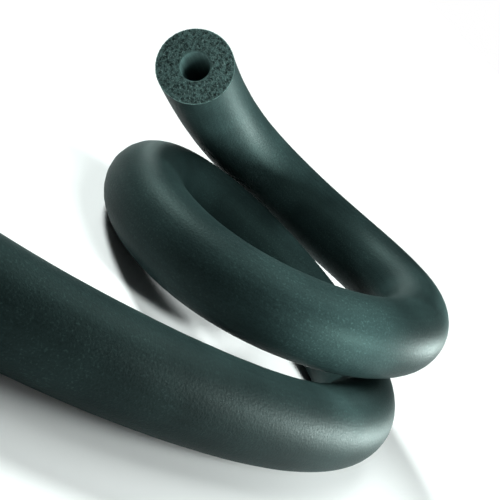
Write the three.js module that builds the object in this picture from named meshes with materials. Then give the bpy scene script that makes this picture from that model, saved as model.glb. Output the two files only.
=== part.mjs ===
// Pipe insulation lagging: one thick-walled tube of flexible closed-cell rubber foam, 2 m long,
// lying on a level floor in a loose coil. Millimetres, +Z up, the floor at z = 0.
import * as THREE from "three";

// Driving dimensions of the stock.
const boreDiameter = 23; // slides over a 22 mm pipe
const wallThickness = 19;
const tubeLength = 2000; // measured along the middle of the tube

// How it lies.
const turnGap = 0.6; // between a turn and the one that it rests on

// How finely the tube is faceted.
const outerSides = 16;
const boreSides = 12;
const stepsAlong = 72;

const boreRadius = boreDiameter / 2;
const outerRadius = boreRadius + wallThickness;
const outerDiameter = 2 * outerRadius;

// The way the tube lies, seen from above, from the cut end that faces the viewer to the far end:
// x to the right, y away from the viewer, and the level, which is 0 on the floor and 1 where the
// middle of the tube is one turn higher. The middle of the tube is drawn towards these points.
const layout = [
  [-141, -148, 2.31], // the raised cut end, which faces the viewer
  [-160, -20, 1.44],
  [-147, 77, 0.88],
  [-106, 143, 0.67],
  [-43, 175, 0.7], // back of the upper turn
  [22, 169, 0.89],
  [72, 129, 1.05], // right-hand bend of the upper turn
  [94, 63, 1.03],
  [80, -7, 0.84],
  [34, -61, 0.52], // front of the upper turn, on its way down
  [-31, -79, 0.21],
  [-94, -57, 0.04],
  [-133, -7, 0], // left-hand bend, down on the floor
  [-129, 53, 0],
  [-84, 98, 0],
  [-12, 115, 0], // back of the lower turn
  [60, 103, 0],
  [109, 61, 0], // right-hand bend of the lower turn
  [121, -5, 0],
  [104, -90, 0],
  [64, -181, 0], // the long front stretch
  [5, -278, 0],
  [-67, -357, 0],
  [-154, -400, 0], // the outer end turns back beside the coil
  [-236, -396, 0],
  [-298, -352, 0],
  [-332, -284, 0],
  [-340, -206, 0],
  [-340, -126, 0],
  [-340, -46, 0],
];

// A smooth curve drawn towards its points: a uniform cubic B-spline, which starts and ends
// opposite its second and its last but one point.
class DrawnCurve extends THREE.Curve {
  constructor(points) {
    super();
    this.points = points;
  }

  getPoint(t, target = new THREE.Vector3()) {
    const spans = this.points.length - 3;
    const span = Math.min(Math.floor(t * spans), spans - 1);
    const u = t * spans - span;
    const weights = [
      (1 - u) ** 3,
      3 * u ** 3 - 6 * u ** 2 + 4,
      -3 * u ** 3 + 3 * u ** 2 + 3 * u + 1,
      u ** 3,
    ];
    target.set(0, 0, 0);
    weights.forEach((weight, i) => target.addScaledVector(this.points[span + i], weight / 6));
    return target;
  }
}

// A given length of a curve, measured from its start. Past the curve's end it runs on straight.
class MeasuredCurve extends THREE.Curve {
  constructor(whole, length) {
    super();
    this.whole = whole;
    this.length = length;
  }

  getPoint(t, target = new THREE.Vector3()) {
    const wholeLength = this.whole.getLength();
    const along = t * this.length;
    if (along <= wholeLength) return this.whole.getPointAt(along / wholeLength, target);
    this.whole.getPointAt(1, target);
    return target.addScaledVector(this.whole.getTangentAt(1), along - wholeLength);
  }
}

// The middle line of the tube, with its height worked out from the levels.
function tubeMiddle() {
  const levelHeight = outerDiameter + turnGap;
  const points = layout.map(
    ([x, y, level]) => new THREE.Vector3(x, y, outerRadius + level * levelHeight),
  );
  const whole = new DrawnCurve(points);
  whole.arcLengthDivisions = 2000;
  return new MeasuredCurve(whole, tubeLength);
}

// A regular polygon, as the section's outline or its bore.
function ring(PathClass, radius, sides, turn) {
  const path = new PathClass();
  for (let i = 0; i < sides; i++) {
    const angle = turn * ((2 * Math.PI * i) / sides);
    path[i ? "lineTo" : "moveTo"](radius * Math.cos(angle), radius * Math.sin(angle));
  }
  path.closePath();
  return path;
}

// The cross-section: a round wall with the pipe's bore through its middle.
function tubeSection() {
  const section = ring(THREE.Shape, outerRadius, outerSides, 1);
  section.holes.push(ring(THREE.Path, boreRadius, boreSides, -1));
  return section;
}

// The tube: the section carried along the middle line, then set with its lowest point on the
// floor and the middle of its outline, seen from above, over the origin.
function insulationTube() {
  const geometry = new THREE.ExtrudeGeometry(tubeSection(), {
    steps: stepsAlong,
    bevelEnabled: false,
    extrudePath: tubeMiddle(),
  });
  geometry.computeBoundingBox();
  const { min, max } = geometry.boundingBox;
  geometry.translate(-(min.x + max.x) / 2, -(min.y + max.y) / 2, -min.z);
  const material = new THREE.MeshStandardMaterial({
    color: 0x34443f,
    roughness: 0.8,
    metalness: 0,
  });
  const tube = new THREE.Mesh(geometry, material);
  tube.name = "insulation_tube";
  return tube;
}

const part = new THREE.Group();
part.add(insulationTube());

export default part;
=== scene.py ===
# %% [markdown]
# # A loose coil of pipe insulation
# The object is one length of lagging for a 22 mm heating pipe: a thick-walled tube of closed-cell
# rubber foam, 2 m long, tossed down in a loose coil with one cut end springing up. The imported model
# holds it as a faceted tube. Here the same tube is modelled finely: first straight, as it is
# extruded in the factory, and then bent along its route, so that all its patterns bend with it.

# %% Load the frame
import math
from itertools import accumulate

import bpy
from mathutils import Matrix, Vector


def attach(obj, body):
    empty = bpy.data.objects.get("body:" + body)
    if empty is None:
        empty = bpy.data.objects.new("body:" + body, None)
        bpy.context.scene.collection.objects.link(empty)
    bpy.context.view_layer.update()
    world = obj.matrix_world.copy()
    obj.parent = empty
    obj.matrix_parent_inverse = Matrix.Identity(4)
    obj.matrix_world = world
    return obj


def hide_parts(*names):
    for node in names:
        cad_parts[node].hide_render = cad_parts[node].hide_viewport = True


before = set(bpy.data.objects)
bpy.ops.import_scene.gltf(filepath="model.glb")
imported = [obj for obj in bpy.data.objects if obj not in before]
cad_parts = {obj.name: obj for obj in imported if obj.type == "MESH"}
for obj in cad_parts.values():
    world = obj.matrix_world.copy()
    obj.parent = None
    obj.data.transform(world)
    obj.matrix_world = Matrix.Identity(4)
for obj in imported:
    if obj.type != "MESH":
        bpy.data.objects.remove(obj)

bpy.ops.object.select_all(action="DESELECT")
bpy.context.view_layer.update()

# %% [markdown]
# ## Sizes
# Lagging is named by the pipe that it fits and by its wall. Bore, wall and length are the stock
# sizes, in metres; everything else is worked out from them. They could be measured off the packed
# mesh, but its facets cut the corners of the round section, so the true values are given here.

# %% Sizes of the stock
bore_diameter = 0.023
wall_thickness = 0.019
tube_length = 2.0

bore_radius = bore_diameter / 2
outer_radius = bore_radius + wall_thickness
outer_diameter = 2 * outer_radius
print("the tube is", round(outer_diameter, 4), "m across")

# %% [markdown]
# ## The camera
# The coil was photographed from close by, 17 degrees above the horizontal, and the picture was then
# turned by about an eighth of a turn, so that the cut end stands at the top. A camera that is rolled
# by the same angle gives that picture without moving the coil from its floor. The camera could be
# aimed with a constraint, but three plain turns say more: the heading, the tilt and the roll.

# %% The camera
heading = math.radians(17.0)  # the view turns this far to the left of +Y
tilt_down = math.radians(17.0)
roll = math.radians(46.2)
camera_place = (0.2965, -0.5823, 0.2796)
sensor_width = 36  # millimetres, as the focal length
focal_length = 72
farthest_seen = 200

bpy.ops.object.camera_add(location=camera_place)
camera = bpy.context.object
camera.name = "camera"
aim = Matrix.Rotation(heading, 4, "Z") @ Matrix.Rotation(math.pi / 2 - tilt_down, 4, "X")
camera.rotation_euler = (aim @ Matrix.Rotation(roll, 4, "Z")).to_euler()
camera.data.sensor_width = sensor_width
camera.data.lens = focal_length
camera.data.clip_end = farthest_seen
bpy.context.scene.camera = camera
print("the camera looks along", [round(v, 3) for v in aim.to_3x3() @ Vector((0, 0, -1))])

# %% [markdown]
# ## The route
# The tube makes one turn flat on the floor and a second one on top of it, and its first end springs
# up from there. Its other end runs along the floor in front and turns back beside the coil. A bent
# foam tube spreads its bends evenly, as a thin beam does, and a cubic B-spline is the curve
# that behaves most like that: it is drawn towards its points without kinks. Bezier handles would
# need more numbers for the same line. The third number is a level: 0 on the floor and 1 where the
# middle of the tube is one turn higher.

# %% The points that the middle of the tube is drawn towards
layout = [
    (-0.141, -0.148, 2.31),  # the raised cut end, which faces the viewer
    (-0.160, -0.020, 1.44),
    (-0.147, 0.077, 0.88),
    (-0.106, 0.143, 0.67),
    (-0.043, 0.175, 0.70),  # back of the upper turn
    (0.022, 0.169, 0.89),
    (0.072, 0.129, 1.05),  # right-hand bend of the upper turn
    (0.094, 0.063, 1.03),
    (0.080, -0.007, 0.84),
    (0.034, -0.061, 0.52),  # front of the upper turn, on its way down
    (-0.031, -0.079, 0.21),
    (-0.094, -0.057, 0.04),
    (-0.133, -0.007, 0),  # left-hand bend, down on the floor
    (-0.129, 0.053, 0),
    (-0.084, 0.098, 0),
    (-0.012, 0.115, 0),  # back of the lower turn
    (0.060, 0.103, 0),
    (0.109, 0.061, 0),  # right-hand bend of the lower turn
    (0.121, -0.005, 0),
    (0.104, -0.090, 0),
    (0.064, -0.181, 0),  # the long front stretch
    (0.005, -0.278, 0),
    (-0.067, -0.357, 0),
    (-0.154, -0.400, 0),  # the outer end turns back beside the coil
    (-0.236, -0.396, 0),
    (-0.298, -0.352, 0),
    (-0.332, -0.284, 0),
    (-0.340, -0.206, 0),
    (-0.340, -0.126, 0),
    (-0.340, -0.046, 0),
]
turn_gap = 0.0006  # between a turn and the one that it rests on
level_height = outer_diameter + turn_gap
route_points = [Vector((x, y, outer_radius + level * level_height)) for x, y, level in layout]
print(len(route_points), "points lead the route")

# %% The route as a curve
steps_per_point = 48


def draw_route(points):
    """A smooth curve drawn towards the points, starting opposite the second one."""
    data = bpy.data.curves.new("route", "CURVE")
    data.dimensions = "3D"
    data.twist_mode = "Z_UP"
    data.resolution_u = steps_per_point
    line = data.splines.new("NURBS")
    line.points.add(len(points) - 1)
    for knot, place in zip(line.points, points):
        knot.co = (*place, 1)
    line.order_u = 4
    line.use_endpoint_u = False
    curve = bpy.data.objects.new("route", data)
    bpy.context.collection.objects.link(curve)
    return curve


def middle_line(curve, length):
    """The points of the curve's own line, from its start for the given length."""
    bpy.context.view_layer.update()
    shown = curve.evaluated_get(bpy.context.evaluated_depsgraph_get())
    line = [vertex.co.copy() for vertex in shown.to_mesh().vertices]
    shown.to_mesh_clear()
    along = [0.0, *accumulate((b - a).length for a, b in zip(line, line[1:]))]
    last = next(i for i, distance in enumerate(along) if distance > length)
    share = (length - along[last - 1]) / (along[last] - along[last - 1])
    return line[:last] + [line[last - 1].lerp(line[last], share)]


route = draw_route(route_points)
drawn = middle_line(route, tube_length)
for name, place in (("starts", drawn[0]), ("ends", drawn[-1])):
    print("its line", name, "at", [round(v, 4) for v in place])

# %% [markdown]
# ## Placing the route in the shared frame
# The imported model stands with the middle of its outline, seen from above, over the origin. The
# outline of a tube reaches one outer radius beyond its middle line on every side, so the middle of
# the line's own outline is what has to come over the origin.

# %% Move the route over the origin
bpy.context.view_layer.objects.active = route
route.select_set(True)
for axis in range(2):
    reach = [point[axis] for point in drawn]
    route.location[axis] = -(min(reach) + max(reach)) / 2
bpy.ops.object.transform_apply(location=True, rotation=False, scale=False)
bpy.ops.object.select_all(action="DESELECT")
tube_path = middle_line(route, tube_length)
print("the raised end is at", [round(v, 4) for v in tube_path[0]])

# %% [markdown]
# ## The straight tube
# A real tube leaves its extruder straight and round. The plain way to model it is a cylinder lying
# along +X, with its ends inset by the wall thickness, the discs inside the insets deleted, and the
# two holes bridged to make the bore. Sweeping a ring along the curve would be shorter, but it
# gives no cut faces and no unbent shape for the patterns to hold on to.

# %% A cylinder along +X, with its bore
sides_round = 192
facing_along = 0.9  # an end's face points at least this much along the tube


def select_where(piece, by_faces, test):
    """In edit mode, selects the faces or the edges that pass the test, and nothing else."""
    bpy.ops.object.mode_set(mode="EDIT")
    bpy.context.tool_settings.mesh_select_mode = (False, not by_faces, by_faces)
    bpy.ops.mesh.select_all(action="DESELECT")
    bpy.ops.object.mode_set(mode="OBJECT")
    places = [vertex.co for vertex in piece.data.vertices]
    if by_faces:
        for face in piece.data.polygons:
            face.select = test(face.normal)
    else:
        for edge in piece.data.edges:
            edge.select = test(*(places[i] for i in edge.vertices))
    bpy.ops.object.mode_set(mode="EDIT")


def faces_where(piece, test):
    """Selects the piece's faces whose normal passes the test."""
    select_where(piece, True, test)


def edges_where(piece, test):
    """Selects the piece's edges whose two ends pass the test."""
    select_where(piece, False, test)


bpy.ops.mesh.primitive_cylinder_add(
    vertices=sides_round,
    radius=outer_radius,
    depth=tube_length,
    location=(tube_length / 2, 0, 0),
    rotation=(0, math.pi / 2, 0),
)
tube = bpy.context.object
tube.name = "insulation_tube_foam"
bpy.ops.object.transform_apply(location=True, rotation=True, scale=True)

faces_where(tube, lambda normal: abs(normal.x) > facing_along)
bpy.ops.mesh.inset(thickness=wall_thickness)
bpy.ops.mesh.delete(type="FACE")
bpy.ops.mesh.select_mode(type="EDGE")
bpy.ops.mesh.select_all(action="DESELECT")
bpy.ops.mesh.select_non_manifold()
bpy.ops.mesh.bridge_edge_loops()
bpy.ops.mesh.select_all(action="SELECT")
bpy.ops.mesh.normals_make_consistent(inside=False)
bpy.ops.object.mode_set(mode="OBJECT")
print("the straight tube has", len(tube.data.polygons), "faces")

# %% [markdown]
# ## The rims
# The ends are cut square with a long knife. The cut leaves crisp rims, but foam never keeps a
# perfect edge: a rounding of about half a millimetre catches the thin line of light that the real
# rim shows. Both rims of both ends get it with the bevel operator.

# %% Round the rims a little
rim_rounding = 0.0006
rim_steps = 3
hair = 1e-5  # places closer than this count as one


def at_an_end(place):
    """True for a place in the plane of one of the two cuts."""
    return min(abs(place.x), abs(place.x - tube_length)) < hair


def radius_at(place):
    """How far the place is from the middle line of the straight tube."""
    return math.hypot(place.y, place.z)


def is_rim(a, b):
    """True for an edge round the outside or the bore, in the plane of a cut."""
    in_a_cut = at_an_end(a) and abs(a.x - b.x) < hair
    return in_a_cut and abs(radius_at(a) - radius_at(b)) < hair


edges_where(tube, is_rim)
bpy.ops.mesh.bevel(offset=rim_rounding, segments=rim_steps, affect="EDGES")
bpy.ops.object.mode_set(mode="OBJECT")
print("with rounded rims it has", len(tube.data.polygons), "faces")

# %% [markdown]
# ## Rings along the tube
# A mesh bends only where it has edges, so the long faces are cut into short rings. Subdividing the
# lengthwise edges does that for the outside and the bore together; two passes give more rings than
# one pass may. The cut faces are split the same way into fine circles, because the opened cells
# of the foam will be pressed into them.

# %% Cut the long faces and the cut faces into rings
coarse_rings = 20
rings_in_each = 11
circles_on_cut = 26


def runs_along(a, b):
    """True for a lengthwise edge, which is longer than the rounding of a rim."""
    return abs(a.x - b.x) > 10 * rim_rounding


def runs_outwards(a, b):
    """True for an edge of a cut face that leads from the bore to the outside."""
    return at_an_end(a) and at_an_end(b) and abs(radius_at(a) - radius_at(b)) > wall_thickness / 2


for pieces in (coarse_rings, rings_in_each):
    edges_where(tube, runs_along)
    bpy.ops.mesh.subdivide(number_cuts=pieces - 1)
edges_where(tube, runs_outwards)
bpy.ops.mesh.subdivide(number_cuts=circles_on_cut - 1)
bpy.ops.object.mode_set(mode="OBJECT")
print("ready to bend:", len(tube.data.polygons), "faces,", 2 * len(tube.data.polygons), "triangles")

# %% [markdown]
# ## Three surfaces of one piece
# The tube is one piece of foam, but it shows three finishes: the satin skin that forms against the
# die, the open cells where the knife went through, and the bore, a second skin inside. Each gets
# its own material slot, and its faces are picked by where they lie on the straight tube. The
# rounded rims count as cut foam, because the knife went through the skin there too.

# %% Give the faces their finishes
finish_names = ("foam_skin", "cut_foam", "bore_skin")
least_lean = 0.05  # a face of a cut or a rim faces at least this much along the tube
for name in finish_names:
    tube.data.materials.append(bpy.data.materials.new(name))
middle_of_wall = (bore_radius + outer_radius) / 2
for face in tube.data.polygons:
    cut = abs(face.normal.x) > least_lean
    inside = radius_at(face.center) < middle_of_wall
    face.material_index = 1 if cut else 2 if inside else 0
counts = [sum(f.material_index == i for f in tube.data.polygons) for i in range(3)]
print(dict(zip(finish_names, counts)))

# %% [markdown]
# ## Relief in the mesh
# Cut foam is a field of opened bubbles, one to three millimetres across, and the skin of an extruded
# tube is never quite even. Both are real shapes, so they are pressed into the mesh with Displace
# modifiers. A displacement that only goes inwards keeps the tube inside its true size, and keeps its
# turns from touching. The finer grain, too small for the mesh, comes later as bump.

# %% Press the relief into the cut faces and the skin
def group_of(name, wanted):
    """Groups the vertices of the faces that pass the test, and returns their numbers."""
    members = {i for face in tube.data.polygons if wanted(face) for i in face.vertices}
    tube.vertex_groups.new(name=name).add(list(members), 1.0, "REPLACE")
    return members


def press_in(name, kind, size, depth):
    """Sinks the vertices of a group by up to the depth, by a procedural texture of that size."""
    pattern = bpy.data.textures.new(name, kind)
    pattern.noise_scale = size
    press = tube.modifiers.new(name, "DISPLACE")
    press.texture = pattern
    press.texture_coords = "LOCAL"
    press.vertex_group = name
    press.mid_level = 1.0
    press.strength = depth
    bpy.ops.object.modifier_apply(modifier=press.name)
    bpy.data.textures.remove(pattern)


group_of("cut_cells", lambda face: face.material_index == 1)
skin_members = group_of("skin_swell", lambda face: face.material_index == 0)
press_in("cut_cells", "CLOUDS", size=0.0011, depth=0.0005)
press_in("skin_swell", "CLOUDS", size=0.055, depth=0.0006)
tube.vertex_groups.clear()
skin_radii = [radius_at(tube.data.vertices[i].co) for i in skin_members]
print("the skin's radius now varies between", round(min(skin_radii), 5), "and", round(max(skin_radii), 5))

# %% [markdown]
# ## Remember the straight shape, then bend
# Every pattern on the tube ran along it before anyone coiled it. The vertices' straight places are
# kept as an attribute, which the materials read, and then a Curve modifier bends the tube
# along its route. Bending it with an armature or a lattice would stretch it; the Curve modifier
# keeps its length.

# %% Keep the straight places and bend the tube
sharp_angle = math.radians(40)  # edges that turn more than this, as in the relief, stay sharp

straight = tube.data.attributes.new("straight", "FLOAT_VECTOR", "POINT")
straight.data.foreach_set("vector", [number for v in tube.data.vertices for number in v.co])

bend = tube.modifiers.new("bend", "CURVE")
bend.object = route
bend.deform_axis = "POS_X"
bpy.ops.object.modifier_apply(modifier=bend.name)
bpy.ops.object.shade_smooth_by_angle(angle=sharp_angle)
bpy.data.objects.remove(route)
lowest = min(v.co.z for v in tube.data.vertices)
print("the bent tube's lowest point is at", round(lowest * 1000, 3), "mm")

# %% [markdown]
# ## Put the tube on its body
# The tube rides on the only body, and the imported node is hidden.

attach(tube, "root")
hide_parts("insulation_tube")
print("declared a cord of", tube_length, "m with", len(tube_path), "points along its middle")

# %% [markdown]
# ## Shader arithmetic
# A material is a sum of patterns, and sums are easier to read as expressions than as nodes.
# The class below wraps one socket of a node and turns +, - and * into Math nodes. Its `node` method
# adds any other node. A group of ready-made nodes would do too, but would hide the numbers.

# %% A small class for shader maths
class Shade:
    """One value, colour or vector inside a material."""

    def __init__(self, tree, socket=None):
        self.tree = tree
        self.socket = socket

    def node(self, kind, settings=None, sockets=None, output=0):
        """Adds a node, sets it up, fills or links its sockets, and wraps one of its outputs."""
        made = self.tree.nodes.new(kind)
        for name, value in (settings or {}).items():
            setattr(made, name, value)
        for name, value in (sockets or {}).items():
            if isinstance(value, Shade):
                self.tree.links.new(value.socket, made.inputs[name])
            else:
                made.inputs[name].default_value = value
        return Shade(self.tree, made.outputs[output] if made.outputs else None)

    def maths(self, operation, *values):
        return self.node("ShaderNodeMath", {"operation": operation}, dict(enumerate(values)))

    def __add__(self, other):
        return self.maths("ADD", self, other)

    def __sub__(self, other):
        return self.maths("SUBTRACT", self, other)

    def __rsub__(self, other):
        return self.maths("SUBTRACT", other, self)

    def __mul__(self, other):
        return self.maths("MULTIPLY", self, other)

    __radd__ = __add__
    __rmul__ = __mul__

    def between(self, low, high):
        """0 below low, 1 above high, and a soft step between them."""
        return self.node(
            "ShaderNodeMapRange",
            {"interpolation_type": "SMOOTHSTEP"},
            {"Value": self, "From Min": low, "From Max": high},
        )

    def blend(self, low, high):
        """The colour low where this is 0, high where it is 1."""
        return self.node("ShaderNodeMix", {"data_type": "RGBA"}, {0: self, 6: (*low, 1), 7: (*high, 1)}, 2)

    def tint(self, colour, amount):
        """This colour, mixed with another one by the amount."""
        return self.node("ShaderNodeMix", {"data_type": "RGBA"}, {0: amount, 6: self, 7: (*colour, 1)}, 2)

    def stretched(self, scale):
        """This place, multiplied axis by axis."""
        return self.node("ShaderNodeVectorMath", {"operation": "MULTIPLY"}, {0: self, 1: scale})

    def noise(self, scale, detail=2.0, roughness=0.5):
        sockets = {"Vector": self, "Scale": scale, "Detail": detail, "Roughness": roughness}
        return self.node("ShaderNodeTexNoise", None, sockets)

    def cells(self, scale):
        """The distance to the nearest bubble's middle."""
        return self.node("ShaderNodeTexVoronoi", {"feature": "F1"}, {"Vector": self, "Scale": scale})


def start_finish(name):
    """Empties a material. Returns a start for its nodes, and the straight places."""
    material = bpy.data.materials[name]
    material.use_nodes = True
    material.node_tree.nodes.clear()
    start = Shade(material.node_tree)
    place = start.node("ShaderNodeAttribute", {"attribute_name": "straight"}, output=1)
    return start, place


def end_finish(start, sockets, height, depth):
    """Adds the surface shader, with a bump of that height and depth in metres."""
    bump = start.node("ShaderNodeBump", None, {"Height": height, "Distance": depth, "Strength": 1.0})
    surface = start.node("ShaderNodeBsdfPrincipled", None, {**sockets, "Normal": bump})
    start.node("ShaderNodeOutputMaterial", None, {"Surface": surface})


print("finishes to make:", finish_names)

# %% [markdown]
# ## The skin
# The outside of the tube is the skin that the foam forms in the die: very dark grey-green,
# satin, with a fine dry grain, tiny pimples, faint lengthwise drag lines and a slightly uneven bloom
# of chalky dust. One noise could fake it all, but each of these has its own size, so each has its own
# pattern. A pattern's scale is how many of its blotches fit in a metre.

# %% The skin's finish
skin_dark = (0.0078, 0.0136, 0.0139)
skin_light = (0.0174, 0.0304, 0.0302)
chalk = (0.055, 0.098, 0.092)
satin_tint = (0.62, 1.0, 0.94, 1)
cloud_scale = 22
dust_scale = 700
grain_scale = 850
pimple_scale = 500
drag_scale = (6, 420, 420)  # long along the tube, fine across it
skin_relief = 0.00022


def make_skin():
    start, place = start_finish("foam_skin")
    clouds = place.noise(cloud_scale, detail=4)
    grain = place.noise(grain_scale, detail=4, roughness=0.65)
    drag = place.stretched(drag_scale).noise(1.0)
    pimples = place.cells(pimple_scale)
    dust = place.noise(dust_scale, detail=3)
    shade = clouds * 0.45 + grain * 0.4 + drag * 0.15
    chalky = (dust.between(0.54, 0.72) * clouds.between(0.25, 0.7)) * 0.34
    colour = shade.between(0.3, 0.7).blend(skin_dark, skin_light).tint(chalk, chalky)
    roughness = 0.26 + clouds * 0.12 + grain * 0.34
    height = grain * 0.6 + pimples * 0.3 + drag * 0.1
    sockets = {
        "Base Color": colour,
        "Roughness": roughness,
        "Specular IOR Level": 0.055,
        "Specular Tint": satin_tint,
    }
    end_finish(start, sockets, height, skin_relief)


make_skin()
print("skin colours from", skin_dark, "to", skin_light)

# %% [markdown]
# ## The cut foam
# The knife opens bubbles of one to three millimetres. Each shows a pit inside a paler, ragged wall;
# the pits are painted nearly black, as painted shade in their hollows. Voronoi cells, roughened with
# noise so that no two look alike, give pits and walls; two sizes of cell are layered because real foam
# has large and small bubbles, and a few torn walls catch the light as flecks. Next to the bore the foam
# is denser, which makes a narrow, smoother ring. A thin pale line painted just inside the outer rim is
# a painted highlight: the line of light that the rim catches. Modelling every bubble would take
# millions of faces.

# %% The cut foam's finish
# painted shade: the bubbles' pits are painted nearly black, as the shade inside their hollows
pit_shade = (0.003, 0.008, 0.008)
torn_foam = (0.086, 0.146, 0.140)
fleck = (0.230, 0.330, 0.315)
dense_foam = (0.070, 0.118, 0.112)
dense_ring = 0.0014
# painted highlight: the pale colour of a thin band just inside the outer rim, as the line of light the rim
# catches
rim_highlight = (0.190, 0.300, 0.285)
rim_highlight_width = 0.0011
large_cells = 340  # in a metre, as the other scales
small_cells = 760
tear_scale = 820
fleck_scale = 640
patch_scale = 120
ragged_scale = 600
ragged_reach = 0.0022
foam_relief = 0.0012


def make_cut_foam():
    start, place = start_finish("cut_foam")
    stray = place.node("ShaderNodeTexNoise", None, {"Vector": place, "Scale": ragged_scale}, output=1)
    ragged = place.node(
        "ShaderNodeVectorMath", {"operation": "MULTIPLY_ADD"}, {0: stray, 1: (ragged_reach,) * 3, 2: place}
    )
    walls = ragged.cells(large_cells) * 0.6 + ragged.cells(small_cells) * 0.4
    # this mask of the walls also carries painted shade: where it is low, in the pits, the colour goes
    # nearly black
    walls_over_pit_shade = walls.between(0.24, 0.72) * 0.7 + place.noise(tear_scale).between(0.35, 0.7) * 0.3
    flecks = place.noise(fleck_scale).between(0.57, 0.68) * walls.between(0.3, 0.6)
    patches = place.noise(patch_scale)
    across = place.node(
        "ShaderNodeVectorMath", {"operation": "LENGTH"}, {0: place.stretched((0, 1, 1))}, output=1
    )
    dense = 1 - across.between(bore_radius + dense_ring * 0.4, bore_radius + dense_ring)
    colour = (walls_over_pit_shade * (0.6 + patches * 0.9)).blend(pit_shade, torn_foam).tint(fleck, flecks * 0.55)
    # painted highlight: a thin band just inside the outer rim gets the pale colour
    edge = across.between(outer_radius - rim_highlight_width, outer_radius - rim_highlight_width * 0.5)
    colour = colour.tint(dense_foam, dense * 0.8).tint(rim_highlight, edge * 0.9)
    height = (walls_over_pit_shade + flecks * 0.4) * (1 - dense * 0.8)
    sockets = {"Base Color": colour, "Roughness": 0.75, "Specular IOR Level": 0.12}
    end_finish(start, sockets, height, foam_relief)


make_cut_foam()
print("the large bubbles are about", round(1000 / large_cells, 1), "mm across")

# %% [markdown]
# ## The bore
# The bore is a second skin, formed against the mandrel of the die. It is smoother than the outside,
# with faint lines along it. Its colours are painted far paler than the outer skin's, as painted light
# that brightens its walls. It still looks dark, because light reaches it only through its mouth.

# %% The bore's finish
# painted light: the bore's colours are far paler than the outer skin's, to brighten its inside
bore_dark = (0.085, 0.142, 0.139)
bore_light = (0.160, 0.262, 0.255)
bore_grain_scale = 1300
bore_drag_scale = (5, 380, 380)
bore_relief = 0.0001


def make_bore():
    start, place = start_finish("bore_skin")
    grain = place.noise(bore_grain_scale)
    drag = place.stretched(bore_drag_scale).noise(1.0)
    colour = (grain * 0.5 + drag * 0.5).between(0.3, 0.7).blend(bore_dark, bore_light)
    sockets = {"Base Color": colour, "Roughness": 0.6 + grain * 0.1, "Specular IOR Level": 0.3}
    end_finish(start, sockets, grain * 0.5 + drag * 0.5, bore_relief)


make_bore()
print("bore colours from", bore_dark, "to", bore_light)

# %% [markdown]
# ## The floor
# A plain pale floor runs to the horizon, so the background comes out as an even, light field from
# every side. A curved paper backdrop would do for one view only.

# %% The floor
floor_reach = 60
pale_paint = (0.96, 0.87, 0.885, 1)

bpy.ops.mesh.primitive_circle_add(vertices=96, radius=floor_reach, fill_type="NGON")
floor = bpy.context.object
floor.name = "floor"
floor_paint = bpy.data.materials.new("pale_floor")
floor_paint.use_nodes = True
floor_surface = floor_paint.node_tree.nodes["Principled BSDF"]
floor_surface.inputs["Base Color"].default_value = pale_paint
floor_surface.inputs["Roughness"].default_value = 0.9
floor_surface.inputs["Specular IOR Level"].default_value = 0.1
floor.data.materials.append(floor_paint)
print("the floor reaches", floor_reach, "m")

# %% [markdown]
# ## The light
# Dark foam is shown by its highlights, so the light decides the look. Two square soft boxes stand
# close by, one low on the right and one above. Their light falls off quickly, which leaves the left
# side and the inside of the coil dark. Two spots from the right lift the raised end and the front of
# the upper turn; the first one skims over the coil, whose shadow cuts its light off in a crisp line.
# Broad, far lamps from the front right and the back right put the bright patches on the bends, and
# two more from behind and from the left draw the soft lines along the upper edges and whiten the
# floor. Each lamp is placed by two angles: its turn, from the camera's right towards the far side, and
# its rise above the floor. One even sky could light it all, but it would make the foam flat and grey.
# The lamps are a little green, as the picture's highlights are, and the floor's paint evens that out.

# %% The lamps
picture_middle = Vector((0.06, 0.0, 0.05))  # near the middle of what the camera sees
cool_white = (0.84, 1.0, 0.965)
bulb_radius = 0.02  # of a spot
sun_distance = 5  # a far lamp's light is the same from any distance


def tube_at(distance):
    """The middle of the tube at that distance from its raised end."""
    along = accumulate((b - a).length for a, b in zip(tube_path, tube_path[1:]))
    return next(point for point, reached in zip(tube_path[1:], along) if reached >= distance)


def lamp_direction(turn, rise):
    """The direction from the object to a lamp, from its two angles in degrees."""
    level = Matrix.Rotation(heading + math.radians(turn), 3, "Z") @ Vector((1, 0, 0))
    return level * math.cos(math.radians(rise)) + Vector((0, 0, math.sin(math.radians(rise))))


def add_lamp(name, kind, turn, rise, distance, strength, target=picture_middle):
    """A lamp that shines from the given angles and distance at the target."""
    data = bpy.data.lights.new(name, kind)
    data.energy = strength
    data.color = cool_white
    lamp = bpy.data.objects.new(name, data)
    lamp.location = target + lamp_direction(turn, rise) * distance
    lamp.rotation_euler = lamp_direction(turn, rise).to_track_quat("Z", "Y").to_euler()
    lamp.visible_camera = False
    bpy.context.collection.objects.link(lamp)
    return data


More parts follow.
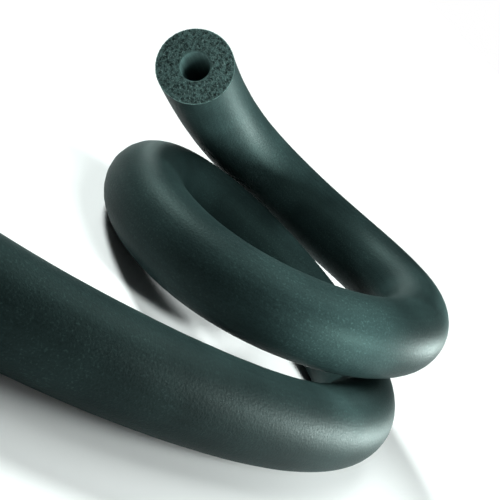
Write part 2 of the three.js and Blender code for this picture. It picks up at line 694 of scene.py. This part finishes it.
def soft_box(name, turn, rise, distance, side, watts):
    """A square lamp with sides of that many metres."""
    add_lamp(name, "AREA", turn, rise, distance, watts).size = side


def far_lamp(name, turn, rise, strength, spread):
    """A lamp so far away that its light is parallel, seen as that many degrees wide."""
    add_lamp(name, "SUN", turn, rise, sun_distance, strength).angle = math.radians(spread)


def spot_lamp(name, target, turn, rise, distance, cone, soft_edge, watts):
    """A lamp that lights a cone of that many degrees round its target."""
    data = add_lamp(name, "SPOT", turn, rise, distance, watts, target)
    data.spot_size = math.radians(cone)
    data.spot_blend = soft_edge
    data.shadow_soft_size = bulb_radius


soft_box("low_box", turn=0, rise=12, distance=0.36, side=0.20, watts=0.46)
soft_box("top_box", turn=20, rise=70, distance=0.30, side=0.20, watts=0.80)
spot_lamp("neck_spot", tube_at(0.06), turn=6, rise=9, distance=0.60, cone=20, soft_edge=0.15, watts=26)
spot_lamp("turn_spot", tube_at(0.56), turn=-21, rise=27, distance=0.25, cone=34, soft_edge=0.9, watts=7)
far_lamp("front_right", turn=-48, rise=8, strength=0.5, spread=14)
far_lamp("back_right", turn=40, rise=10, strength=5.2, spread=12)
far_lamp("left", turn=157, rise=38, strength=4.8, spread=14)
far_lamp("back", turn=119, rise=14, strength=0.5, spread=14)
print("lamps:", [lamp.name for lamp in bpy.data.lights])

# %% [markdown]
# ## The sky
# A little light comes from everywhere, as it does in a white room. Beyond the floor's edge the
# picture shows the room's white wall, so the sky is white where it is seen and weak where it lights.

# %% The sky
sky_seen = 1.0
sky_light = 0.03

sky = bpy.data.worlds.new("sky")
bpy.context.scene.world = sky
sky.use_nodes = True
backdrop = Shade(sky.node_tree)
seen = backdrop.node("ShaderNodeLightPath")
sky.node_tree.links.new((sky_light + seen * (sky_seen - sky_light)).socket,
                        sky.node_tree.nodes["Background"].inputs["Strength"])
sky.node_tree.nodes["Background"].inputs["Color"].default_value = (1, 1, 1, 1)
bpy.context.scene.view_settings.view_transform = "Standard"
print("the sky lights with", sky_light)
